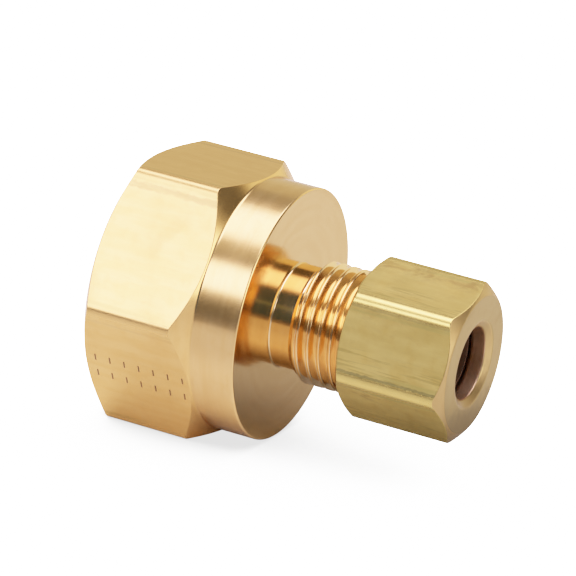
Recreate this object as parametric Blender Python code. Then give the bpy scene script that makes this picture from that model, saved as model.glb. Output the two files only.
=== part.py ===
"""Brass compression fitting: 1/4 in. tube to 1/2-14 NPT female adapter.

Three pieces: the adapter body, the compression sleeve and the compression nut.
The fitting's axis is world X. The pipe end faces -X and the tube end faces +X.
The origin is on the axis, halfway along the fitting, and one flat of the body's
hexagon faces -Z. The nut is threaded part of the way on.
"Back" means the -X side and "front" the +X side. Angles run about +X from +Y.
The constants are in millimetres; the meshes are built in metres.
"""
import math

import bmesh
import bpy

MM = 0.001
TAU = 2.0 * math.pi
SIXTH = math.pi / 3.0
TWELFTH = math.pi / 6.0

# ---- places along X, from the pipe end face ----
HEX_END = 10.54            # where the hexagon's front cone meets the shoulder
SHOULDER_FACE = 14.66      # front face of the round shoulder
SLEEVE_START = 24.30       # back end of the sleeve, its nose
NUT_START = 21.96          # back face of the nut
NUT_LEN = 10.18
OVERALL = NUT_START + NUT_LEN
PIPE_FACE_X = -OVERALL / 2.0       # world X of the pipe end face

# ---- adapter body, outside ----
BODY_AF = 23.02            # 29/32 in. hexagon, across flats
BODY_CORNER_R = 0.80       # rounding of the hexagon's corners
BODY_COLUMNS = [10.0, 20.0]        # extra mesh columns, degrees from a flat's middle
PIPE_CHAMFER_R = 11.00     # where the end chamfer meets the pipe end face
PIPE_CHAMFER_SLOPE = 1.75  # every slope is a radial rise per mm along the axis
FRONT_CONE_SLOPE = 1.228
SHOULDER_R = 11.38
SHOULDER_BREAK = 0.12      # edge break on the shoulder's front corner
NECK_LEN = 9.93            # shoulder face to the tip of the threaded neck
NECK_R = 4.65              # plain neck between the shoulder and the thread
NECK_THREAD_START = 1.95   # from the shoulder face
NECK_THREAD_SLOPE = 0.94   # cone that the thread rises out of
NECK_TIP_R = 4.78          # outside edge of the neck's end face
NECK_TIP_SLOPE = 1.0

# ---- male thread on the neck: 7/16-24 UNS, right hand ----
UN_PITCH = 25.4 / 24.0
MALE_CREST_R = 5.50
MALE_ROOT_R = 4.84
MALE_CREST_FLAT = 0.24
MALE_PHASE = 4.07          # a crest lies this far from the shoulder face ...
MALE_PHASE_DEG = 184.0     # ... at this angle

# ---- tube side bore of the body ----
SEAT_MOUTH_R = 4.40        # cone that the sleeve's nose seats in
SEAT_DEPTH = 2.30
TUBE_SOCKET_R = 3.25       # clears a 1/4 in. tube
TUBE_SOCKET_DEPTH = 7.20   # from the neck's tip to the tube stop
FLOW_BORE_R = 2.40

# ---- female pipe thread: 1/2-14 NPT, right hand ----
NPT_PITCH = 25.4 / 14.0
NPT_PITCH_DIA = 19.772     # at the mouth
NPT_HEIGHT = 0.8 * NPT_PITCH       # crest to root
NPT_TAPER = 1.0 / 32.0     # radius lost per mm of depth
NPT_CREST_FLAT = 0.20
NPT_CREST_R = NPT_PITCH_DIA / 2.0 - NPT_HEIGHT / 2.0    # at the mouth
NPT_ROOT_R = NPT_PITCH_DIA / 2.0 + NPT_HEIGHT / 2.0     # at the mouth
NPT_MOUTH_R = 10.66        # countersink at the pipe end face
NPT_MOUTH_SLOPE = 1.0
NPT_END_DROP = 0.25        # how far the thread ends inside its crest line
SOCKET_DEPTH = 12.70
SOCKET_FLOOR_R = 7.60      # bottom of the socket
SOCKET_END_CONE = 0.80     # length of the cone between the thread and the floor

# ---- compression nut ----
NUT_AF = 12.70             # 1/2 in. hexagon, across flats
NUT_CORNER_R = 1.00
NUT_COLUMNS = [13.0]       # extra mesh columns, degrees from a flat's middle
NUT_ROLL_DEG = 17.0        # turn of the nut from the body's flats
NUT_BACK_FACE_R = NUT_AF / 2.0 - 0.02      # back face stops just inside the flats
NUT_BACK_CHAMFER_R = 6.437 # the back chamfer cuts only what lies beyond this
NUT_BACK_SLOPE = 1.609
NUT_BACK_STEP = 0.01       # set-back of the edge where the chamfer misses it
NUT_FRONT_FACE_R = 6.13
NUT_FRONT_SLOPE = 1.500
NUT_HOLE_R = TUBE_SOCKET_R
NUT_RIM_R = 3.93           # edge break at the mouth of the tube hole
NUT_RIM_DEPTH = 0.40
NUT_CONE_START = 6.90      # from the back face
NUT_CONE_R = 4.95
NUT_CONE_SLOPE = 1.0

# ---- female thread of the nut, same pitch as the male thread ----
NUT_THREAD_LEN = 6.60
NUT_MOUTH_R = 5.80
NUT_MOUTH_SLOPE = 1.0
FEMALE_CREST_R = 5.08
FEMALE_ROOT_R = 5.66
FEMALE_CREST_FLAT = 0.12
FEMALE_ROOT_FLAT = 0.30
FEMALE_END_DROP = 0.05     # how far the thread ends inside its crest line

# ---- compression sleeve ----
SLEEVE_LEN = 5.80
SLEEVE_R = 4.00
SLEEVE_BORE_R = 3.23
SLEEVE_TIP_R = 3.50
SLEEVE_SLOPE = 0.5         # at both ends
SLEEVE_SEGMENTS = 36

# ---- mesh building ----
RUNOUT_SLOPE = 0.8         # cone where both female threads end
THREAD_SNAP = 0.04         # part of a pitch within which a ring joins the end face
MERGE_DIST = 2e-6          # metres
DEGENERATE_DIST = 1e-6     # metres


def clear_scene():
    """Remove every object."""
    for obj in list(bpy.data.objects):
        bpy.data.objects.remove(obj, do_unlink=True)


def brass(name, colour, roughness):
    """A bare brass finish."""
    mat = bpy.data.materials.new(name)
    mat.use_nodes = True
    shader = next(n for n in mat.node_tree.nodes if n.type == "BSDF_PRINCIPLED")
    shader.inputs["Base Color"].default_value = (*colour, 1.0)
    shader.inputs["Metallic"].default_value = 1.0
    shader.inputs["Roughness"].default_value = roughness
    mat.diffuse_color = (*colour, 1.0)
    return mat


# ---- hexagons, with flats that face 30 + 60 k degrees ----

def hex_tangent_angle(across_flats, corner_r):
    """Angle from a flat's middle to where its rounded corner begins."""
    half_flat = (across_flats / 2.0 - corner_r) * math.tan(TWELFTH)
    return math.atan2(half_flat, across_flats / 2.0)


def hex_radius(angle, across_flats, corner_r):
    """Distance from the axis to the hexagon's outline."""
    from_flat = abs((angle - math.radians(30.0) + TWELFTH) % SIXTH - TWELFTH)
    # the tolerance keeps the tangent columns themselves on the flat
    if from_flat <= hex_tangent_angle(across_flats, corner_r) + 1e-9:
        return (across_flats / 2.0) / math.cos(from_flat)
    centre = (across_flats / 2.0 - corner_r) / math.cos(TWELFTH)
    turn = TWELFTH - from_flat
    return centre * math.cos(turn) + math.sqrt(corner_r ** 2 - (centre * math.sin(turn)) ** 2)


def hex_columns(across_flats, corner_r, inner):
    """One full turn of angles that land on each corner and on its rounding."""
    tangent = math.degrees(hex_tangent_angle(across_flats, corner_r))
    offsets = [-30.0, -tangent, *[-o for o in reversed(inner)], 0.0, *inner, tangent]
    turn = [30.0 + 60.0 * k + o for k in range(6) for o in offsets]
    return [math.radians(a) for a in turn + [turn[0] + 360.0]]


# ---- rings: each is a function from an angle to (x, radius) ----

def circle(x, radius):
    """A plain ring: the same place at every angle."""
    return lambda angle: (x, radius)


def chamfer_edge(face_x, direction, face_r, slope, outline):
    """Where a cone that starts at face_r on a face cuts the sides of a hexagon.

    direction is 1 when the sides lie in front of the face and -1 when behind it.
    """
    def place(angle):
        radius = outline(angle)
        return face_x + direction * (radius - face_r) / slope, radius
    return place


def thread(start, end, pitch, profile, phase_x, phase_angle, limit, taper=0.0):
    """Rings, in order of x, that follow a right-hand helix between two faces.

    profile lists (offset along the pitch, radius at start); taper is the radius
    lost per mm from there. limit(x, radius) applies the cones at both ends.
    Rings beyond a face collapse onto it, and their doubles are merged later.
    """
    first = math.floor((start - phase_x) / pitch) - 2
    last = math.ceil((end - phase_x) / pitch) + 2
    snap = THREAD_SNAP * pitch

    def ring(offset, start_radius):
        def place(angle):
            x = phase_x + offset + pitch * (angle - phase_angle) / TAU
            if x <= start + snap:
                x = start
            elif x >= end - snap:
                x = end
            return x, limit(x, start_radius - taper * (x - start))
        return place

    return [ring(k * pitch + offset, radius)
            for k in range(first, last + 1) for offset, radius in profile]


def skin(name, angles, rings, mat, middle=0.0, smooth_deg=32.0):
    """Join closed rings in order, and the last to the first, into a solid.

    The object's origin is on the axis at x = middle.
    """
    bm = bmesh.new()
    grid = []
    for place in rings:
        row = []
        for angle in angles:
            x, radius = place(angle)
            row.append(bm.verts.new(((x - middle) * MM, radius * math.cos(angle) * MM,
                                     radius * math.sin(angle) * MM)))
        grid.append(row)
    for j, row in enumerate(grid):
        following = grid[(j + 1) % len(grid)]
        for i in range(len(angles) - 1):
            bm.faces.new((row[i], row[i + 1], following[i + 1], following[i]))

    # merging closes the seam, where each thread ring meets the one a pitch further on
    bmesh.ops.remove_doubles(bm, verts=bm.verts, dist=MERGE_DIST)
    bmesh.ops.dissolve_degenerate(bm, edges=bm.edges, dist=DEGENERATE_DIST)
    bmesh.ops.recalc_face_normals(bm, faces=bm.faces)
    if bm.calc_volume(signed=True) < 0.0:
        bmesh.ops.reverse_faces(bm, faces=bm.faces)

    mesh = bpy.data.meshes.new(name)
    bm.to_mesh(mesh)
    bm.free()
    mesh.materials.append(mat)
    mesh.shade_smooth()
    mesh.set_sharp_from_angle(angle=math.radians(smooth_deg))
    obj = bpy.data.objects.new(name, mesh)
    obj.location = (middle * MM, 0.0, 0.0)
    bpy.context.collection.objects.link(obj)
    return obj


# ---- the pieces ----

def neck_thread(face, tip):
    """Male thread, between the plain neck and the chamfer at the tip."""
    start = face + NECK_THREAD_START
    half_crest = MALE_CREST_FLAT / 2.0
    flank = (UN_PITCH - MALE_CREST_FLAT) / 2.0
    profile = [(-half_crest, MALE_CREST_R), (half_crest, MALE_CREST_R),
               (half_crest + flank, MALE_ROOT_R)]

    def limit(x, radius):
        return min(radius, NECK_R + NECK_THREAD_SLOPE * (x - start),
                   NECK_TIP_R + NECK_TIP_SLOPE * (tip - x))

    return thread(start, tip, UN_PITCH, profile, face + MALE_PHASE,
                  math.radians(MALE_PHASE_DEG), limit)


def pipe_thread(mouth):
    """Tapered female thread, from the mouth inwards."""
    end = mouth + SOCKET_DEPTH - SOCKET_END_CONE
    half_crest = NPT_CREST_FLAT / 2.0
    flank = (NPT_PITCH - NPT_CREST_FLAT) / 2.0
    profile = [(-half_crest, NPT_CREST_R), (half_crest, NPT_CREST_R),
               (half_crest + flank, NPT_ROOT_R)]

    def limit(x, radius):
        crest = NPT_CREST_R - NPT_TAPER * (x - mouth)
        runout = crest - NPT_END_DROP + RUNOUT_SLOPE * (end - x)
        return max(min(radius, runout), NPT_MOUTH_R - NPT_MOUTH_SLOPE * (x - mouth))

    return thread(mouth, end, NPT_PITCH, profile, mouth, 0.0, limit, taper=NPT_TAPER)


def nut_thread(back):
    """Female thread whose grooves lie over the crests of the male thread."""
    end = back + NUT_THREAD_LEN
    half_crest, half_root = FEMALE_CREST_FLAT / 2.0, FEMALE_ROOT_FLAT / 2.0
    profile = [(-half_root, FEMALE_ROOT_R), (half_root, FEMALE_ROOT_R),
               (UN_PITCH / 2.0 - half_crest, FEMALE_CREST_R),
               (UN_PITCH / 2.0 + half_crest, FEMALE_CREST_R)]

    def limit(x, radius):
        runout = FEMALE_CREST_R - FEMALE_END_DROP + RUNOUT_SLOPE * (end - x)
        return max(min(radius, runout), NUT_MOUTH_R - NUT_MOUTH_SLOPE * (x - back))

    return thread(back, end, UN_PITCH, profile, PIPE_FACE_X + SHOULDER_FACE + MALE_PHASE,
                  math.radians(MALE_PHASE_DEG) - math.radians(NUT_ROLL_DEG), limit)


def make_body(mat):
    """Hexagon, shoulder and threaded neck in one piece of brass."""
    def outline(angle):
        return hex_radius(angle, BODY_AF, BODY_CORNER_R)

    pipe = PIPE_FACE_X
    hex_end = pipe + HEX_END
    face = pipe + SHOULDER_FACE
    tip = face + NECK_LEN
    tube_stop = tip - TUBE_SOCKET_DEPTH
    floor = pipe + SOCKET_DEPTH
    rings = [
        # outside, from the pipe end to the neck's tip
        circle(pipe, PIPE_CHAMFER_R),
        chamfer_edge(pipe, 1, PIPE_CHAMFER_R, PIPE_CHAMFER_SLOPE, outline),
        chamfer_edge(hex_end, -1, SHOULDER_R, FRONT_CONE_SLOPE, outline),
        circle(hex_end, SHOULDER_R),
        circle(face - SHOULDER_BREAK, SHOULDER_R),
        circle(face, SHOULDER_R - SHOULDER_BREAK),
        circle(face, NECK_R),
        *neck_thread(face, tip),
        # bore, from the neck's tip back to the pipe end
        circle(tip, SEAT_MOUTH_R),
        circle(tip - SEAT_DEPTH, TUBE_SOCKET_R),
        circle(tube_stop, TUBE_SOCKET_R),
        circle(tube_stop, FLOW_BORE_R),
        circle(floor, FLOW_BORE_R),
        circle(floor, SOCKET_FLOOR_R),
        *reversed(pipe_thread(pipe)),
    ]
    angles = hex_columns(BODY_AF, BODY_CORNER_R, BODY_COLUMNS)
    return skin("adapter_body", angles, rings, mat)


def make_nut(mat):
    """Hexagonal nut with the female thread, an inner cone and the tube hole."""
    back = PIPE_FACE_X + NUT_START
    front = back + NUT_LEN
    cone = back + NUT_CONE_START

    def outline(angle):
        return hex_radius(angle, NUT_AF, NUT_CORNER_R)

    def back_edge(angle):
        """The back chamfer touches only the parts near the corners."""
        radius = outline(angle)
        if radius <= NUT_BACK_CHAMFER_R:
            return back + NUT_BACK_STEP, radius
        return back + (radius - NUT_BACK_CHAMFER_R) / NUT_BACK_SLOPE, radius

    rings = [
        # outside, from back to front
        circle(back, NUT_BACK_FACE_R),
        back_edge,
        chamfer_edge(front, -1, NUT_FRONT_FACE_R, NUT_FRONT_SLOPE, outline),
        circle(front, NUT_FRONT_FACE_R),
        # inside, from front to back
        circle(front, NUT_RIM_R),
        circle(front - NUT_RIM_DEPTH, NUT_HOLE_R),
        circle(cone + (NUT_CONE_R - NUT_HOLE_R) / NUT_CONE_SLOPE, NUT_HOLE_R),
        circle(cone, NUT_CONE_R),
        *reversed(nut_thread(back)),
    ]
    angles = hex_columns(NUT_AF, NUT_CORNER_R, NUT_COLUMNS)
    obj = skin("compression_nut", angles, rings, mat, middle=(back + front) / 2.0)
    obj.rotation_euler = (math.radians(NUT_ROLL_DEG), 0.0, 0.0)
    return obj


def make_sleeve(mat):
    """Brass ring, tapered at both ends, that grips the tube when the nut is tightened."""
    start = PIPE_FACE_X + SLEEVE_START
    end = start + SLEEVE_LEN
    taper_len = (SLEEVE_R - SLEEVE_TIP_R) / SLEEVE_SLOPE
    rings = [
        circle(start, SLEEVE_TIP_R),
        circle(start + taper_len, SLEEVE_R),
        circle(end - taper_len, SLEEVE_R),
        circle(end, SLEEVE_TIP_R),
        circle(end, SLEEVE_BORE_R),
        circle(start, SLEEVE_BORE_R),
    ]
    angles = [TAU * k / SLEEVE_SEGMENTS for k in range(SLEEVE_SEGMENTS + 1)]
    return skin("compression_sleeve", angles, rings, mat,
                middle=(start + end) / 2.0, smooth_deg=20.0)


clear_scene()
axis = bpy.data.objects.new("fitting_axis", None)
bpy.context.collection.objects.link(axis)

body = make_body(brass("body_brass", colour=(0.70, 0.47, 0.17), roughness=0.30))
body.parent = axis
sleeve = make_sleeve(brass("sleeve_brass", colour=(0.72, 0.50, 0.20), roughness=0.35))
sleeve.parent = axis
nut = make_nut(brass("nut_brass", colour=(0.64, 0.51, 0.22), roughness=0.33))

# the nut rides on the sleeve but keeps its place in the world
bpy.context.view_layer.update()
nut.parent = sleeve
nut.matrix_parent_inverse = sleeve.matrix_world.inverted()
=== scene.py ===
import math

import bmesh
import bpy
import numpy as np
from mathutils import Matrix, Vector


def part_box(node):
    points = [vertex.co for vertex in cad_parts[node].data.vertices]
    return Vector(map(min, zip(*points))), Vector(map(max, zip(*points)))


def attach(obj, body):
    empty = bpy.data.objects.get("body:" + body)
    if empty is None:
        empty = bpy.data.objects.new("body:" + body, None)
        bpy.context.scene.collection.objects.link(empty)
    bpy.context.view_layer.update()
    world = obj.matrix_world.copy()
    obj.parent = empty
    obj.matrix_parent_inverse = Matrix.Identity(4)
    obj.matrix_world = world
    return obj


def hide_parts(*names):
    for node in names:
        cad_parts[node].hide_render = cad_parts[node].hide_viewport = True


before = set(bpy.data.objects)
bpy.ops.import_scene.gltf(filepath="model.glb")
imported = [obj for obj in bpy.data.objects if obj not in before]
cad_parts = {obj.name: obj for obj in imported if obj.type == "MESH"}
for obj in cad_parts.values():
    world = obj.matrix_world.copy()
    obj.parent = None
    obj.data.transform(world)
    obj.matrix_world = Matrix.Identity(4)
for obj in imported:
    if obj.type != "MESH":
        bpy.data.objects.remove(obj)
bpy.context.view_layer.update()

MM = 0.001
TAU = 2.0 * math.pi

# ------------------------------------------------------------------ shared sizes, in mm
# Places along the axis come from the frame; radii are the fitting's own.
body_lo, body_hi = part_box("adapter_body")
nut_lo, nut_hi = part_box("compression_nut")
sleeve_lo, sleeve_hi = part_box("compression_sleeve")
PIPE = body_lo.x / MM             # the body's wide end
TIP = body_hi.x / MM              # the end of its neck
NUT_BACK = nut_lo.x / MM
NUT_FRONT = nut_hi.x / MM
SLEEVE_BACK = sleeve_lo.x / MM
SLEEVE_FRONT = sleeve_hi.x / MM
BODY_FLATS = (body_hi.z - body_lo.z) / MM
HEX_END = PIPE + 10.54
FACE = PIPE + 14.66               # the flat face the neck stands on
NUT_FLATS = 12.70
NUT_ROLL = 17.0                   # degrees
BORE_R = 3.25                     # straight bore in the neck and in the nut
NECK_PITCH = 25.4 / 24.0          # thread on the neck and in the nut
PIPE_PITCH = 25.4 / 14.0          # tapered thread in the body
# the neck thread's crest passes through this place and angle
CREST_X = FACE + 4.07
CREST_ANGLE = math.radians(184.0)


# ------------------------------------------------------------------ mesh tools
def hexagon(across_flats, corner_r, roll):
    """Column angles round the axis, and the rounded hexagon's radius at each of them.

    Steps are fine on each rounded corner and even on the flats between."""
    half = across_flats / 2.0
    centre = (half - corner_r) / math.cos(math.pi / 6.0)
    arc = []
    for step in (0, 5, 10, 15, 20, 25, 30):
        f = math.radians(step)
        arc.append(math.degrees(math.atan2(corner_r * math.sin(f), centre + corner_r * math.cos(f))))
    flat_end = 30.0 - arc[-1]
    flat = [v for v in (0, 3, 6, 9, 12, 15, 18, 21, 24, 25.6) if v < flat_end - 1.0]
    half_sector = flat + [flat_end - 0.6, flat_end - 0.14] + [30.0 - v for v in reversed(arc[1:])]
    offsets = sorted([-v for v in half_sector if v > 0] + half_sector)
    turn = [30.0 + 60.0 * k + offset for k in range(6) for offset in [-30.0] + offsets]
    angles = np.radians(np.array(turn + [turn[0] + 360.0])) + roll

    sector = (angles - roll - math.radians(30.0) + math.pi / 6.0) % (math.pi / 3.0)
    off = np.abs(sector - math.pi / 6.0)
    flat_angle = math.atan2((half - corner_r) * math.tan(math.pi / 6.0), half)
    to_corner = math.pi / 6.0 - off
    sagitta = corner_r ** 2 - (centre * np.sin(to_corner)) ** 2
    rounded = centre * np.cos(to_corner) + np.sqrt(np.maximum(sagitta, 0.0))
    return angles, np.where(off <= flat_angle + 1e-9, half / np.cos(off), rounded)


def mirrored(half):
    """A thread shape from its right half, both as (offset, level)."""
    return [(-offset, level) for offset, level in reversed(half) if offset > 0] + half


def direction(start, end):
    """Unit vectors and lengths from start to end, per column."""
    step = end - start
    length = np.linalg.norm(step, axis=1, keepdims=True)
    return step / np.maximum(length, 1e-12), length


class Rings:
    """Closed rings of (x, radius) per column, with a material for the band after each ring."""

    def __init__(self, angles):
        self.angles = angles
        self.x, self.r, self.bands = [], [], []

    def add(self, x, r, band):
        self.x.append(x)
        self.r.append(r)
        self.bands.append(band)

    def profile(self, points, steps=5, support=0.05):
        """points: (x, radius, fillet, material of the band that follows); no fillet on the ends.

        Support rings stand just clear of each fillet."""
        columns = len(self.angles)
        places = [np.stack([np.broadcast_to(np.asarray(v, float), (columns,)) for v in p[:2]], 1)
                  for p in points]
        cuts = []
        for k, point in enumerate(points):
            cut = np.zeros((columns, 1))
            if point[2] > 0:
                before = direction(places[k - 1], places[k])[1]
                after = direction(places[k], places[k + 1])[1]
                cut = np.minimum(point[2], 0.42 * np.minimum(before, after))
            cuts.append(cut)
        for k, (_, _, fillet, band) in enumerate(points):
            here = places[k]
            if fillet > 0:
                start = here + direction(here, places[k - 1])[0] * cuts[k]
                end = here + direction(here, places[k + 1])[0] * cuts[k]
                for s in range(steps + 1):
                    t = s / steps
                    q = (1 - t) ** 2 * start + 2 * t * (1 - t) * here + t * t * end
                    self.add(q[:, 0], q[:, 1], points[k - 1][3] if t < 0.5 else band)
            else:
                self.add(here[:, 0], here[:, 1], band)
            if k < len(points) - 1:
                along, length = direction(here, places[k + 1])
                gap = np.minimum(support, 0.3 * (length - cuts[k] - cuts[k + 1]))
                for q in (here + along * (cuts[k] + gap),
                          places[k + 1] - along * (cuts[k + 1] + gap)):
                    self.add(q[:, 0], q[:, 1], band)

    def thread(self, x0, x1, pitch, shape, radius_at, band,
               phase_x=CREST_X, phase_angle=CREST_ANGLE, backwards=False):
        """Rings along a right-hand helix, held between x0 and x1.

        shape: (offset in mm, level); radius_at(x, level) gives the radius."""
        first = math.floor((x0 - phase_x) / pitch) - 2
        last = math.ceil((x1 - phase_x) / pitch) + 2
        rows = []
        for k in range(first, last + 1):
            for offset, level in shape:
                x = phase_x + k * pitch + offset + pitch * (self.angles - phase_angle) / TAU
                x = np.where(x <= x0 + 0.012, x0, np.where(x >= x1 - 0.012, x1, x))
                flattened = np.all(x == x0) or np.all(x == x1)
                if flattened and k not in (first, last):
                    continue
                rows.append((x, radius_at(x, level)))
        if backwards:
            rows.reverse()
        for x, r in rows:
            self.add(x, r, band)

    def build(self, piece, materials):
        """Closes the rings into a mesh that stands in for the frame's piece."""
        name = piece + "_brass"
        x, r = np.array(self.x) * MM, np.array(self.r) * MM
        rows, columns = x.shape
        places = np.stack([x, r * np.cos(self.angles), r * np.sin(self.angles)], 2)
        ids = np.arange(rows * columns).reshape(rows, columns)
        following = np.roll(ids, -1, axis=0)
        quads = np.stack([ids[:, :-1], ids[:, 1:], following[:, 1:], following[:, :-1]], 2)
        mesh = bpy.data.meshes.new(name)
        mesh.from_pydata(places.reshape(-1, 3).tolist(), [], quads.reshape(-1, 4).tolist())
        bands = np.repeat(np.array(self.bands), columns - 1)
        mesh.polygons.foreach_set("material_index", bands.astype(np.int32))
        bm = bmesh.new()
        bm.from_mesh(mesh)
        bmesh.ops.remove_doubles(bm, verts=bm.verts, dist=1.5e-6)
        bmesh.ops.dissolve_degenerate(bm, edges=bm.edges, dist=5e-7)
        bmesh.ops.recalc_face_normals(bm, faces=bm.faces)
        if bm.calc_volume(signed=True) < 0:
            bmesh.ops.reverse_faces(bm, faces=bm.faces)
        bm.to_mesh(mesh)
        bm.free()
        for material in materials:
            mesh.materials.append(material)
        mesh.shade_smooth()
        mesh.set_sharp_from_angle(angle=math.radians(50.0))
        ob = add_object(name, mesh)
        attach(ob, piece)
        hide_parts(piece)


def add_object(name, data):
    ob = bpy.data.objects.new(name, data)
    bpy.context.scene.collection.objects.link(ob)
    return ob


# ------------------------------------------------------------------ node tools
class Nodes:
    """Short way to wire a node tree."""

    def __init__(self, owner):
        owner.use_nodes = True
        self.tree = owner.node_tree
        self.tree.nodes.clear()

    def node(self, kind, inputs=None, **props):
        """A new node; each input is given a socket to link or a value."""
        made = self.tree.nodes.new(kind)
        for key, value in props.items():
            setattr(made, key, value)
        for key, value in (inputs or {}).items():
            if isinstance(value, bpy.types.NodeSocket):
                self.tree.links.new(value, made.inputs[key])
            else:
                made.inputs[key].default_value = value
        return made

    def math(self, op, *values):
        return self.node("ShaderNodeMath", dict(enumerate(values)), operation=op).outputs[0]

    def add(self, a, b):
        return self.math("ADD", a, b)

    def mul(self, first, *others):
        for other in others:
            first = self.math("MULTIPLY", first, other)
        return first

    def degrees(self, angle):
        return self.mul(angle, 180.0 / math.pi)

    def vmath(self, op, *values):
        made = self.node("ShaderNodeVectorMath", dict(enumerate(values)), operation=op)
        return made.outputs["Value" if op == "LENGTH" else 0]

    def split(self, vector):
        return self.node("ShaderNodeSeparateXYZ", {0: vector}).outputs

    def combine(self, x, y, z):
        return self.node("ShaderNodeCombineXYZ", {0: x, 1: y, 2: z}).outputs[0]

    def smooth(self, value, start, end, before=0.0, after=1.0, kind="SMOOTHSTEP"):
        """Goes from before to after as the value goes from start to end."""
        inputs = {"Value": value, "From Min": start, "From Max": end,
                  "To Min": before, "To Max": after}
        made = self.node("ShaderNodeMapRange", inputs, interpolation_type=kind, clamp=True)
        return made.outputs["Result"]

    def fade(self, value, start, end):
        return self.smooth(value, start, end, before=1.0, after=0.0)

    def mix(self, factor, a, b):
        made = self.node("ShaderNodeMix", data_type="RGBA", inputs={0: factor, 6: a, 7: b})
        return made.outputs[2]

    def coat(self, colour, mask, amount, over):
        return self.mix(self.mul(mask, amount), colour, over)

    def noise(self, vector, scale, detail=2.0, rough=0.5, distortion=0.0):
        return self.node("ShaderNodeTexNoise", {
            "Vector": vector, "Scale": scale, "Detail": detail, "Roughness": rough,
            "Distortion": distortion}).outputs[0]

    def wobble(self, noise, amount):
        return self.mul(self.math("SUBTRACT", noise, 0.5), amount)

    def by_ray(self, camera, others):
        """One shader for camera rays, another for all other rays."""
        seen = self.node("ShaderNodeLightPath").outputs["Is Camera Ray"]
        return self.node("ShaderNodeMixShader",
                         {0: seen, 1: others.outputs[0], 2: camera.outputs[0]}).outputs[0]


# ------------------------------------------------------------------ brass
def shade(tone, *factors):
    return (*(min(1.0, c * f) for c, f in zip(tone, factors)), 1.0)


def grain_vector(n, grain, scaled, axes, seed, drawn, round_axis):
    """Coordinates in which the machining lines run along the first axis.

    drawn and round_axis are how far the texture is stretched along the lines."""
    if grain == "drawn":
        return n.vmath("MULTIPLY", scaled, (drawn, 1.0, 1.0))
    x, y, z = axes
    across = x
    if grain == "faced":
        across = axes_radius(n, y, z)
    return n.combine(n.add(across, seed), n.mul(y, round_axis), n.mul(z, round_axis))


def axes_radius(n, y, z, made={}):
    """Distance from the axis, made once per material and shared by both grains."""
    key = n.tree.as_pointer()
    if key not in made:
        made[key] = n.math("SQRT", n.add(n.mul(y, y), n.mul(z, z)))
    return made[key]


def grain_vectors(n, grain, scaled, axes, seed):
    """Fine and broad coordinates whose first axis crosses the turned or faced lines.

    Drawn lines run along X, turned ones round X, faced ones in rings on a flat end."""
    if grain == "drawn":
        return [n.vmath("MULTIPLY", scaled, (along, 1.0, 1.0)) for along in (0.06, 0.16)]
    x, y, z = axes
    across = x if grain == "turned" else n.math("SQRT", n.add(n.mul(y, y), n.mul(z, z)))
    return [n.combine(n.add(across, seed), n.mul(y, around), n.mul(z, around))
            for around in (0.03, 0.12)]


del grain_vector, axes_radius


def corner_wear(n, colour, tone, near, half_width, lines, broad):
    """Bright rounded corners with a broken dull line beside each; returns colour and wear."""
    wear = n.fade(near, half_width * 0.9, half_width * 1.35)
    colour = n.coat(colour, wear, n.smooth(lines, 0.35, 0.60, before=1.0, after=0.4),
                    shade(tone, 1.02, 1.03, 1.06))
    dull = n.mul(n.smooth(near, half_width * 1.25, half_width * 1.5),
                 n.fade(near, half_width * 1.9, half_width * 2.3),
                 n.smooth(n.noise(broad, scale=0.9, detail=3.0, rough=0.6), 0.44, 0.60))
    return n.coat(colour, dull, 0.75, shade(tone, 0.76, 0.82, 0.80)), wear


def handling(n, colour, tone, turn, away, handled, scaled, fine, broad):
    """Smudges along one edge of each flat, drag lines along the other; colour and stain."""
    smear = n.noise(n.vmath("MULTIPLY", scaled, (0.55, 1.0, 1.0)),
                    scale=0.62, detail=4.0, rough=0.62, distortion=0.5)
    edge = n.mul(n.smooth(away, 3.0, 8.0), n.fade(away, 12.0, 24.0))
    # stronger on every other flat
    from_flat = n.math("SUBTRACT", n.mul(turn, 60.0), 90.0)
    alternate = n.math("COSINE", n.mul(from_flat, math.radians(3.0)))
    edge = n.mul(edge, n.smooth(alternate, -0.7, 0.6, before=0.12))
    stain = n.mul(n.smooth(smear, 0.47, 0.66), n.add(n.mul(edge, 0.85), 0.15), handled)
    colour = n.coat(colour, stain, 0.85, shade(tone, 0.52, 0.45, 0.44))
    drag = n.mul(n.smooth(away, -26.0, -20.0), n.fade(away, -7.0, -4.5),
                 n.smooth(n.noise(fine, scale=6.0, rough=0.55), 0.49, 0.60),
                 n.smooth(n.noise(broad, scale=0.8), 0.40, 0.55))
    return n.coat(colour, drag, 0.55 * handled, shade(tone, 0.60, 0.58, 0.50)), stain


def scuff(n, colour, tone, axes, scaled, broad, centre, half, strength):
    """A dull, wavering line along X."""
    _, y, z = axes
    angle = n.math("FLOORED_MODULO", n.degrees(n.math("ARCTAN2", z, y)), 360.0)
    off = n.math("ABSOLUTE", n.math("SUBTRACT", angle, centre))
    off = n.add(off, n.wobble(n.noise(scaled, scale=1.6, rough=0.6), 1.6 * half))
    line = n.mul(n.fade(off, half * 0.45, half),
                 n.smooth(n.noise(broad, scale=1.1, detail=3.0, rough=0.6), 0.34, 0.52, before=0.35))
    return n.coat(colour, line, strength, shade(tone, 0.34, 0.40, 0.50))


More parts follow.
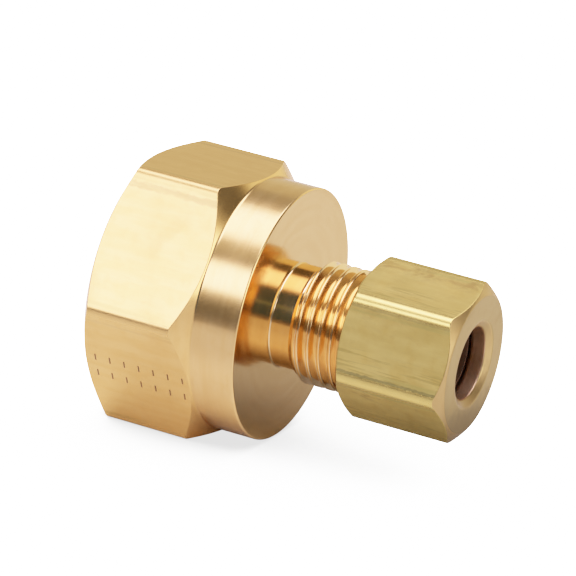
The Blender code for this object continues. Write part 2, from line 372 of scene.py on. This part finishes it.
def brass(name, tone, grain, seed, rough, depth=1.0, tarnish=0.25, blotch=0.55,
          edge=(1.0, 0.92, 0.76), corner=None, aniso=0.0, handled=0.0, scuffs=(),
          rounded=-0.06, low_shade=None):
    """Bare brass. grain: drawn, turned or faced; depth: how strong its lines are.

    corner: angle of one hexagon corner and half width of its rounding, in degrees.
    handled: smudges and drag lines on the flats, which need a corner.
    scuffs: (angle, half width, strength) of dull lines along X, in degrees.
    rounded: how much rougher the rounded corners are than the flats.
    low: painted shade, a browner lower part, from top to bottom in mm of height; it stands in for
    the shadowed floor that part reflects, and partly for grime."""
    material = bpy.data.materials.new(name)
    n = Nodes(material)
    coord = n.node("ShaderNodeTexCoord").outputs["Object"]
    to_mm = (1000.0, 1000.0, 1000.0)
    scaled = n.vmath("ADD", n.vmath("MULTIPLY", coord, to_mm), (seed, seed * 0.37, -seed * 0.61))
    axes = None
    if grain != "drawn" or corner or scuffs or low_shade:
        axes = n.split(n.vmath("MULTIPLY", coord, to_mm))
    fine, broad = grain_vectors(n, grain, scaled, axes, seed)
    lines = n.noise(fine, scale=7.0, detail=3.0, rough=0.60)
    hairlines = n.noise(fine, scale=22.0, rough=0.6)
    bands = n.noise(broad, scale=1.3, detail=3.0)
    cloud = n.noise(scaled, scale=0.20, detail=4.0, rough=0.55, distortion=0.6)
    mottle = n.noise(scaled, scale=0.75, detail=3.0, rough=0.55)
    specks = n.noise(scaled, scale=3.2, detail=3.0, rough=0.6)

    # colour: paler in bands, browner where tarnished and in the deeper lines
    colour = n.mix(n.smooth(bands, 0.30, 0.70),
                   shade(tone, 0.96, 0.935, 0.89), shade(tone, 1.02, 1.03, 1.06))
    colour = n.coat(colour, n.smooth(mottle, 0.46, 0.74), blotch, shade(tone, 0.93, 0.88, 0.80))
    colour = n.coat(colour, n.smooth(cloud, 0.52, 0.78), tarnish, shade(tone, 0.78, 0.70, 0.55))
    colour = n.coat(colour, n.smooth(lines, 0.60, 0.82), 0.35 * depth,
                    shade(tone, 0.74, 0.68, 0.58))

    # roughness: finer on polished streaks, duller on clouds and specks
    roughness = n.add(rough - 0.03, n.mul(bands, 0.05))
    roughness = n.add(roughness, n.mul(n.smooth(specks, 0.55, 0.85), 0.06))
    roughness = n.add(roughness, n.mul(n.smooth(cloud, 0.45, 0.80), 0.05))

    if corner:
        angle = n.degrees(n.math("ARCTAN2", axes[2], axes[1]))
        turn = n.math("DIVIDE", n.math("SUBTRACT", angle, corner["angle"]), 60.0)
        # signed degrees from the nearest corner
        away = n.wobble(n.math("FRACT", n.add(turn, 6.5)), 60.0)
        near = n.math("ABSOLUTE", away)
        colour, wear = corner_wear(n, colour, tone, near, corner["half_width"], lines, broad)
        roughness = n.add(roughness, n.mul(wear, rounded))
        if handled > 0:
            colour, stain = handling(n, colour, tone, turn, away, handled, scaled, fine, broad)
            roughness = n.add(roughness, n.mul(stain, 0.06))
    for centre, half, strength in scuffs:
        colour = scuff(n, colour, tone, axes, scaled, broad, centre, half, strength)
    # painted shade: the lower part turns browner, standing in for the shadowed floor it reflects,
    # and partly for grime
    if low_shade:
        low_shade_height = n.add(axes[2], n.wobble(mottle, 3.0))
        colour = n.coat(colour, n.fade(low_shade_height, low_shade["bottom"], low_shade["top"]), low_shade["strength"],
                        shade(tone, 0.50, 0.46, 0.47))

    height = n.add(n.mul(lines, 1.0), n.mul(hairlines, 0.45))
    height = n.add(height, n.mul(specks, 0.12))
    bump = n.node("ShaderNodeBump",
                  {"Strength": 1.0, "Distance": 0.0000005 * depth, "Height": height})
    inputs = {"Metallic": 1.0, "Specular Tint": (*edge, 1.0), "Base Color": colour,
              "Roughness": roughness, "Normal": bump.outputs[0]}
    if aniso > 0:
        # the fine lines scatter light across themselves
        tangent = n.node("ShaderNodeTangent", direction_type="RADIAL", axis="X")
        inputs.update({"Anisotropic": aniso, "Tangent": tangent.outputs[0],
                       "Anisotropic Rotation": 0.0 if grain == "drawn" else 0.25})
    bsdf = n.node("ShaderNodeBsdfPrincipled", inputs)
    n.node("ShaderNodeOutputMaterial", {0: bsdf.outputs[0]})
    return material


BODY_TONE = (0.86, 0.495, 0.178)
HEX_TONE = (0.87, 0.485, 0.155)
HEX_EDGE = (1.0, 0.90, 0.70)
NUT_TONE = (0.71, 0.475, 0.125)

# slots in the order of the body's band numbers
HEX, TURNED, FACED, THREAD, INSIDE, CONE = range(6)
body_materials = [
    brass("brass_body_drawn", HEX_TONE, "drawn", seed=3.0, rough=0.20, aniso=0.4, edge=HEX_EDGE,
          corner=dict(angle=0.0, half_width=1.75), rounded=0.09,
          scuffs=((125.6, 1.5, 0.45), (65.8, 0.9, 0.30), (184.5, 0.7, 0.15))),
    brass("brass_body_turned", BODY_TONE, "turned", seed=11.0, rough=0.19),
    brass("brass_body_faced", (0.72, 0.43, 0.153), "faced", seed=5.0, rough=0.15, depth=0.5,
          tarnish=0.15, blotch=0.3),
    brass("brass_body_thread", (0.92, 0.60, 0.28), "turned", seed=17.0, rough=0.12, depth=0.35,
          tarnish=0.1, blotch=0.3),
    brass("brass_body_inside", (0.72, 0.43, 0.19), "turned", seed=23.0, rough=0.27,
          tarnish=0.2, blotch=0.3),
    brass("brass_body_cone", HEX_TONE, "turned", seed=27.0, rough=0.19, edge=HEX_EDGE),
]
# slots in the order of the nut's band numbers
NUT_HEX, NUT_FACED, NUT_INSIDE, NUT_CONE, NUT_SINK = range(5)
nut_materials = [
    brass("brass_nut_drawn", NUT_TONE, "drawn", seed=31.0, rough=0.30, depth=1.1, aniso=0.6,
          corner=dict(angle=NUT_ROLL, half_width=4.4), tarnish=0.45, blotch=0.9, handled=1.0,
          scuffs=((191.3, 1.3, 0.72), (142.6, 0.9, 0.36))),
    # the nut's end face carries painted shade on its lower part, partly grime
    brass("brass_nut_faced", (0.425, 0.270, 0.085), "faced", seed=37.0, rough=0.34, depth=0.9,
          tarnish=0.50, blotch=0.7, low_shade=dict(top=-2.2, bottom=-5.2, strength=0.85)),
    brass("brass_nut_inside", (0.76, 0.47, 0.25), "turned", seed=41.0, rough=0.40, depth=2.0,
          tarnish=0.7, blotch=1.0, edge=(0.7, 0.6, 0.45)),
    brass("brass_nut_cone", (0.52, 0.313, 0.110), "turned", seed=43.0, rough=0.34, depth=0.9,
          tarnish=0.35, blotch=0.6),
    # painted shade on the countersink's lower part as well, partly grime
    brass("brass_nut_sink", (0.62, 0.39, 0.140), "turned", seed=45.0, rough=0.34, depth=0.9,
          tarnish=0.35, blotch=0.6, low_shade=dict(top=0.5, bottom=-3.6, strength=1.0)),
]
sleeve_material = brass("brass_sleeve", (0.27, 0.155, 0.08), "turned", seed=47.0, rough=0.58,
                        tarnish=0.4, edge=(0.45, 0.36, 0.25))
# painted shade: dark bars that stand in for the shade in stamped ticks
stamp_shade_material = brass("brass_marks_painted_shade", (0.24, 0.13, 0.055), "drawn", seed=53.0, rough=0.45)

# ------------------------------------------------------------------ adapter body, in mm
BODY_CORNER_R = 0.802
PIPE_MOUTH_R = 10.66
PIPE_FACE_R = 11.00               # where the hexagon's cone starts at the wide end
COLLAR_R = 11.38                  # the round part between the hexagon and the face
COLLAR_EDGE = 0.12
NECK_R = 4.65                     # the plain part of the neck
NECK_THREAD = FACE + 1.95         # where its thread starts
NECK_ROOT_R, NECK_CREST_R = 4.84, 5.50
TIP_R = 4.78
SEAT_R, SEAT_DEPTH = 4.40, 2.30   # the cone inside the tip
STEP_X = TIP - 7.20               # where the bore narrows
WAY_R = 2.40                      # the narrow part of the bore
CHAMBER_FLOOR, CHAMBER_R = PIPE + 12.70, 7.60
PIPE_THREAD_END = PIPE + 11.9
PIPE_PITCH_R = 19.772 / 2.0       # pitch radius at the wide end
PIPE_HALF_DEPTH = 0.4 * PIPE_PITCH

# right halves of the thread shapes: (offset in pitches, level)
NECK_SHAPE = [(0.0, 0.70), (0.040, 0.72), (0.080, 0.86), (0.112, 0.965), (0.136, 1.0),
              (0.158, 0.965), (0.185, 0.87), (0.385, 0.20), (0.435, 0.06)]
PIPE_SHAPE = [(0.055, 0.0), (0.08, 0.04), (0.11, 0.14), (0.40, 0.84), (0.44, 0.93)]


def neck_thread_r(x, level):
    r = NECK_ROOT_R + (NECK_CREST_R - NECK_ROOT_R) * level
    return np.minimum(np.minimum(r, NECK_R + 0.94 * (x - NECK_THREAD)), TIP_R + (TIP - x))


def pipe_thread_r(x, level):
    crest = PIPE_PITCH_R - PIPE_HALF_DEPTH - (x - PIPE) / 32.0
    r = crest + 2.0 * PIPE_HALF_DEPTH * level
    run_out = crest - 0.25 + 0.8 * (PIPE_THREAD_END - x)
    return np.maximum(np.minimum(r, run_out), PIPE_MOUTH_R - (x - PIPE))


def make_body():
    angles, hex_r = hexagon(BODY_FLATS, BODY_CORNER_R, 0.0)
    rings = Rings(angles)
    rings.profile([
        (PIPE, PIPE_MOUTH_R, 0, FACED),
        (PIPE, PIPE_FACE_R, 0.10, CONE),
        (PIPE + (hex_r - PIPE_FACE_R) / 1.75, hex_r, 0.05, HEX),
        (HEX_END - (hex_r - COLLAR_R) / 1.228, hex_r, 0.04, CONE),
        (HEX_END, COLLAR_R, 0.16, TURNED),
        (FACE - COLLAR_EDGE, COLLAR_R, 0.06, TURNED),
        (FACE, COLLAR_R - COLLAR_EDGE, 0.06, FACED),
        (FACE, NECK_R, 0.18, THREAD),
        (NECK_THREAD - 0.02, NECK_R, 0, THREAD),
    ])
    shape = [(o * NECK_PITCH, level) for o, level in mirrored(NECK_SHAPE) + [(0.5, 0.0)]]
    rings.thread(NECK_THREAD, TIP, NECK_PITCH, shape, neck_thread_r, THREAD)
    rings.profile([
        (TIP, TIP_R, 0, THREAD),
        (TIP, SEAT_R, 0.08, INSIDE),
        (TIP - SEAT_DEPTH, BORE_R, 0.2, INSIDE),
        (STEP_X, BORE_R, 0.05, INSIDE),
        (STEP_X, WAY_R, 0.08, INSIDE),
        (CHAMBER_FLOOR, WAY_R, 0.10, INSIDE),
        (CHAMBER_FLOOR, CHAMBER_R, 0, INSIDE),
    ])
    shape = [(o * PIPE_PITCH, level) for o, level in mirrored(PIPE_SHAPE) + [(0.5, 1.0)]]
    rings.thread(PIPE, PIPE_THREAD_END, PIPE_PITCH, shape, pipe_thread_r, INSIDE,
                 phase_x=PIPE, phase_angle=0.0, backwards=True)
    rings.build("adapter_body", body_materials)


# ------------------------------------------------------------------ marks on the body, in mm
MARK_ROWS = (-0.95, 0.95)
MARKS_PER_ROW = 7
FIRST_MARK, MARK_STEP = PIPE + 1.30, 1.42
MARK_HALF_LENGTH, MARK_WIDTH = 0.36, 0.14
MARK_SUNK, MARK_PROUD = -0.060, 0.003
# corner order: end of the tick, side, depth
BAR_FACES = ((0, 1, 3, 2), (4, 6, 7, 5), (0, 4, 5, 1), (2, 3, 7, 6), (0, 2, 6, 4), (1, 5, 7, 3))


def make_marks():
    """Two rows of even ticks, as fine dark bars set into the lower flat on the -Y side; their dark
    colour is painted shade of stamped grooves.
    """
    angle = math.radians(210.0)
    outward = Vector((0.0, math.cos(angle), math.sin(angle)))
    down = Vector((0.0, -math.sin(angle), math.cos(angle)))
    side = down.cross(outward) * (MARK_WIDTH / 2.0)
    bm = bmesh.new()
    for row in MARK_ROWS:
        for k in range(MARKS_PER_ROW):
            on_flat = Vector((FIRST_MARK + MARK_STEP * k, 0, 0)) + outward * (BODY_FLATS / 2.0)
            corners = [bm.verts.new((on_flat + down * end + across + outward * depth) * MM)
                       for end in (row - MARK_HALF_LENGTH, row + MARK_HALF_LENGTH)
                       for across in (-side, side)
                       for depth in (MARK_SUNK, MARK_PROUD)]
            for face in BAR_FACES:
                bm.faces.new([corners[i] for i in face])
    bmesh.ops.recalc_face_normals(bm, faces=bm.faces)
    mesh = bpy.data.meshes.new("adapter_body_marks")
    bm.to_mesh(mesh)
    bm.free()
    mesh.materials.append(stamp_shade_material)
    ob = add_object("adapter_body_marks", mesh)
    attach(ob, "adapter_body")


# ------------------------------------------------------------------ nut, in mm
NUT_CORNER_R = 1.00
NUT_MOUTH_R = 5.80
NUT_BACK_R, NUT_FRONT_R = 6.30, 6.13        # outer edges of the two end faces
SINK_R, SINK_DEPTH = 3.93, 0.40             # countersink in the front face
NUT_CONE_X, NUT_CONE_R, NUT_CONE_LENGTH = NUT_BACK + 6.90, 4.95, 1.70
NUT_THREAD_END, NUT_THREAD_END_R = NUT_BACK + 6.60, 5.03
NUT_CREST_R, NUT_ROOT_R = 5.08, 5.66
HALF_PITCH = NECK_PITCH / 2
# (offset in mm, level), with level 1 at the bottom of the groove
NUT_SHAPE = [(-0.15, 1.0), (0.0, 1.0), (0.15, 1.0), (0.20, 0.93), (HALF_PITCH - 0.10, 0.10),
             (HALF_PITCH - 0.06, 0.02), (HALF_PITCH, 0.0), (HALF_PITCH + 0.06, 0.02),
             (HALF_PITCH + 0.10, 0.10), (NECK_PITCH - 0.20, 0.93)]


def nut_thread_r(x, level):
    r = NUT_CREST_R + (NUT_ROOT_R - NUT_CREST_R) * level
    run_out = NUT_THREAD_END_R + 0.8 * (NUT_THREAD_END - x)
    return np.maximum(np.minimum(r, run_out), NUT_MOUTH_R - (x - NUT_BACK))


def make_nut():
    angles, hex_r = hexagon(NUT_FLATS, NUT_CORNER_R, math.radians(NUT_ROLL))
    rings = Rings(angles)
    rings.profile([
        (NUT_BACK, NUT_MOUTH_R, 0, NUT_FACED),
        (NUT_BACK, NUT_BACK_R, 0.05, NUT_FACED),
        (NUT_BACK + np.maximum(0.06, (hex_r - 6.437) / 1.609), hex_r, 0.10, NUT_HEX),
        (NUT_FRONT - (hex_r - NUT_FRONT_R) / 1.50, hex_r, 0.07, NUT_CONE),
        (NUT_FRONT, NUT_FRONT_R, 0.10, NUT_FACED),
        (NUT_FRONT, SINK_R, 0.16, NUT_SINK),
        (NUT_FRONT - SINK_DEPTH, BORE_R, 0.14, NUT_INSIDE),
        (NUT_CONE_X + NUT_CONE_LENGTH, BORE_R, 0.02, NUT_INSIDE),
        (NUT_CONE_X, NUT_CONE_R, 0.10, NUT_INSIDE),
        (NUT_THREAD_END + 0.02, NUT_THREAD_END_R, 0, NUT_INSIDE),
    ])
    rings.thread(NUT_BACK, NUT_THREAD_END, NECK_PITCH, NUT_SHAPE, nut_thread_r, NUT_INSIDE,
                 backwards=True)
    rings.build("compression_nut", nut_materials)


# ------------------------------------------------------------------ sleeve, in mm
SLEEVE_R, SLEEVE_END_R, SLEEVE_BORE_R = 4.0, 3.50, 3.23
SLEEVE_TAPER = (SLEEVE_R - SLEEVE_END_R) / 0.5


def make_sleeve():
    rings = Rings(np.linspace(0.0, TAU, 145))
    rings.profile([
        (SLEEVE_BACK, 3.36, 0, 0),
        (SLEEVE_BACK, SLEEVE_END_R, 0.06, 0),
        (SLEEVE_BACK + SLEEVE_TAPER, SLEEVE_R, 0.25, 0),
        (SLEEVE_FRONT - SLEEVE_TAPER, SLEEVE_R, 0.25, 0),
        (SLEEVE_FRONT, SLEEVE_END_R, 0.06, 0),
        (SLEEVE_FRONT, SLEEVE_BORE_R, 0.02, 0),
        (SLEEVE_BACK + 0.10, SLEEVE_BORE_R, 0.05, 0),
        (SLEEVE_BACK, 3.33, 0, 0),
    ])
    rings.build("compression_sleeve", [sleeve_material])


# ------------------------------------------------------------------ floor, in metres
FLOOR_Z = body_lo.z - 0.00002
FLOOR_HALF = 1.6
SHADE_CENTRE, SHADE_R = (0.013, 0.011, FLOOR_Z), 0.017


def floor_material():
    """Glows pale to the camera, dimmed by a painted contact shadow from ambient occlusion; to all
    other rays it is grey paper with painted light that darkens towards -Y and painted shade under
    the neck and the nut.
    """
    material = bpy.data.materials.new("pale_floor")
    n = Nodes(material)
    y = n.split(n.node("ShaderNodeNewGeometry").outputs["Position"])[1]
    # painted light: the paper is bright near and behind the fitting and fades to dark a little way
    # in front of it
    paper_light_and_shade = n.add(n.smooth(y, -0.125, -0.065, before=0.08, after=0.42),
                  n.smooth(y, -0.030, -0.013, after=0.14))
    paper_light_and_shade = n.add(paper_light_and_shade, n.math("SUBTRACT", n.smooth(y, -0.013, -0.008, after=0.10),
                                n.smooth(y, -0.008, -0.003, after=0.08)))
    # painted shade: the paper is darker under the neck and the nut
    place = n.node("ShaderNodeNewGeometry").outputs["Position"]
    under = n.vmath("MULTIPLY", n.vmath("SUBTRACT", place, SHADE_CENTRE),
                    (1.0 / SHADE_R, 1.0 / SHADE_R, 0.0))
    paper_light_and_shade = n.mul(paper_light_and_shade, n.smooth(n.vmath("LENGTH", under), 0.55, 1.35, before=0.48))
    paper = n.node("ShaderNodeBsdfDiffuse", {"Color": n.combine(paper_light_and_shade, paper_light_and_shade, paper_light_and_shade)})
    # painted contact shadow: to the camera the glow dims where ambient occlusion finds the fitting
    # close by
    painted_contact_shadow = n.node("ShaderNodeAmbientOcclusion", {"Distance": 0.016}, samples=12)
    strength = n.smooth(painted_contact_shadow.outputs["AO"], 0.25, 1.0, before=0.95, after=6.0, kind="LINEAR")
    glow = n.node("ShaderNodeEmission", {"Color": (1.0, 0.995, 0.985, 1.0), "Strength": strength})
    n.node("ShaderNodeOutputMaterial", {0: n.by_ray(camera=glow, others=paper)})
    return material


def make_floor():
    mesh = bpy.data.meshes.new("floor")
    corners = [(x * FLOOR_HALF, y * FLOOR_HALF, FLOOR_Z)
               for x, y in ((-1, -1), (1, -1), (1, 1), (-1, 1))]
    mesh.from_pydata(corners, [], [(0, 1, 2, 3)])
    floor = add_object("floor", mesh)
    mesh.materials.append(floor_material())


# ------------------------------------------------------------------ studio
# walls of the tent: (degrees above the horizon, brightness)
WALLS = [(-90, 0.30), (-4, 0.13), (8, 0.13), (12, 0.26), (16, 0.55), (20, 0.64), (39, 0.59),
         (43, 0.30), (48, 0.30), (53, 0.58), (58, 0.62), (90, 0.62)]
WALL_SCALE = 4.0                  # brings the brightness into the colour ramp's range
WARM = (1.0, 0.98, 0.88)
PLAIN = (1.0, 1.0, 1.0)
# Softboxes and flags as soft-edged windows, later ones over earlier ones. Azimuth is 0 towards
# -Y and grows towards +X. Columns: brightness, azimuth (from, to, softness),
# elevation (from, to, softness), tint, limits on the direction's X (from, to, softness).
PATCHES = [
    # wall behind, left, and its darker top
    (0.72, (-200, -120, 10), (-8, 44, 10), WARM, None),
    (0.63, (-200, -120, 10), (24, 44, 8), WARM, None),
    (0.36, (-200, -126, 10), (38, 48, 8), PLAIN, None),
    (0.30, (-200, -126, 8), (46, 56, 8), PLAIN, None),
    # wall behind, right
    (1.15, (128, 200, 10), (-8, 45, 10), WARM, None),
    # the gap beside the camera, the camera with its stand, a pale strip on the stand
    (0.09, (14, 62, 18), (-10, 56, 12), (1.0, 1.10, 1.25), None),
    (0.035, (12, 66, 8), (-10, 56, 12), (1.0, 2.8, 6.8), (0.26, 0.50, 0.08)),
    (0.24, (12, 66, 8), (23.5, 28.0, 3), (1.0, 1.7, 2.4), (0.30, 0.46, 0.05)),
    # softbox in front, to the left of the camera
    (3.20, (-62, 8, 14), (19.5, 42.0, 5), (1.0, 1.03, 1.42), None),
    # tall softbox on the right, and two flags behind it
    (3.20, (66, 99, 10), (0, 30, 8), (1.0, 1.02, 1.15), None),
    (0.11, (106, 138, 14), (16, 48, 12), PLAIN, None),
    (0.12, (106, 166, 12), (34, 57, 8), PLAIN, None),
    # overhead softbox
    (3.60, (-400, 400, 5), (61.0, 120, 6), (1.0, 1.01, 1.45), None),
]


def window(n, value, start, end, soft):
    return n.mul(n.smooth(value, start - soft / 2, start + soft / 2),
                 n.fade(value, end - soft / 2, end + soft / 2))


def make_world():
    world = bpy.data.worlds.new("studio")
    bpy.context.scene.world = world
    n = Nodes(world)
    x, y, z = n.split(n.node("ShaderNodeTexCoord").outputs["Generated"])
    elevation = n.degrees(n.math("ARCSINE", z))
    azimuth = n.degrees(n.math("ARCTAN2", x, n.mul(y, -1.0)))
    height = n.math("DIVIDE", n.add(elevation, 90.0), 180.0)
    ramp = n.node("ShaderNodeValToRGB", {0: height})
    stops = ramp.color_ramp.elements
    while len(stops) < len(WALLS):
        stops.new(0.5)
    for stop, (degrees, value) in zip(stops, WALLS):
        stop.position = (degrees + 90) / 180.0
        stop.color = (*(value / WALL_SCALE,) * 3, 1.0)
    light = n.vmath("MULTIPLY", ramp.outputs[0], (WALL_SCALE,) * 3)
    for value, sideways, upward, tint, limits in PATCHES:
        mask = n.mul(window(n, azimuth, *sideways), window(n, elevation, *upward))
        if limits:
            mask = n.mul(mask, window(n, x, *limits))
        light = n.mix(mask, light, (*(value * t for t in tint), 1.0))
    tent = n.node("ShaderNodeBackground", {0: light, 1: 1.0})
    white = n.node("ShaderNodeBackground", {0: (1.0, 1.0, 1.0, 1.0), 1: 8.0})
    n.node("ShaderNodeOutputWorld", {0: n.by_ray(camera=white, others=tent)})


def make_key():
    """A soft disk of light from above the -X, -Y side, aimed at the origin."""
    key = bpy.data.lights.new("soft_key", "AREA")
    key.shape = "DISK"
    key.size = 0.35
    key.energy = 3.0
    ob = add_object("soft_key", key)
    ob.location = (-0.15, -0.25, 0.60)
    ob.rotation_mode = "QUATERNION"
    ob.rotation_quaternion = (-ob.location).to_track_quat("-Z", "Y")
    ob.visible_glossy = False


def make_camera():
    camera = bpy.data.cameras.new("camera")
    camera.sensor_width = 36.0
    camera.lens = 250.735
    camera.clip_start = 0.01
    camera.clip_end = 10.0
    ob = add_object("camera", camera)
    # columns: the camera's right, up and backward directions
    turn = Matrix(((0.89378, -0.24400, 0.37633),
                   (0.42811, 0.21399, -0.87802),
                   (0.13371, 0.94587, 0.29572)))
    ob.rotation_mode = "QUATERNION"
    ob.rotation_quaternion = turn.to_quaternion()
    ob.location = (0.129686, -0.307582, 0.105853)
    bpy.context.scene.camera = ob


# the tone curve: how fast it rises, the brightness it reaches to, and its inner points
CURVE_RISE = 1.5
CURVE_REACH = 5.0
CURVE_POINTS = (0.012, 0.03, 0.055, 0.085, 0.12, 0.165, 0.22, 0.29, 0.38, 0.5, 0.66, 0.82)


def set_render():
    scene = bpy.context.scene
    view = scene.view_settings
    view.view_transform = "Standard"
    view.look = "None"
    # soft shoulder on each channel, so that bright brass goes to cream
    view.use_curve_mapping = True
    mapping = view.curve_mapping
    mapping.white_level = (CURVE_REACH,) * 3
    points = mapping.curves[3].points
    for u in CURVE_POINTS:
        points.new(u, 1.0 - math.exp(-CURVE_RISE * CURVE_REACH * u))
    points[0].location = (0.0, 0.0)
    points[len(points) - 1].location = (1.0, 1.0)
    mapping.update()
    scene.cycles.max_bounces = 10
    scene.cycles.glossy_bounces = 8
    scene.cycles.use_denoising = True


make_body()
make_marks()
make_nut()
make_sleeve()
make_floor()
make_world()
make_key()
make_camera()
set_render()
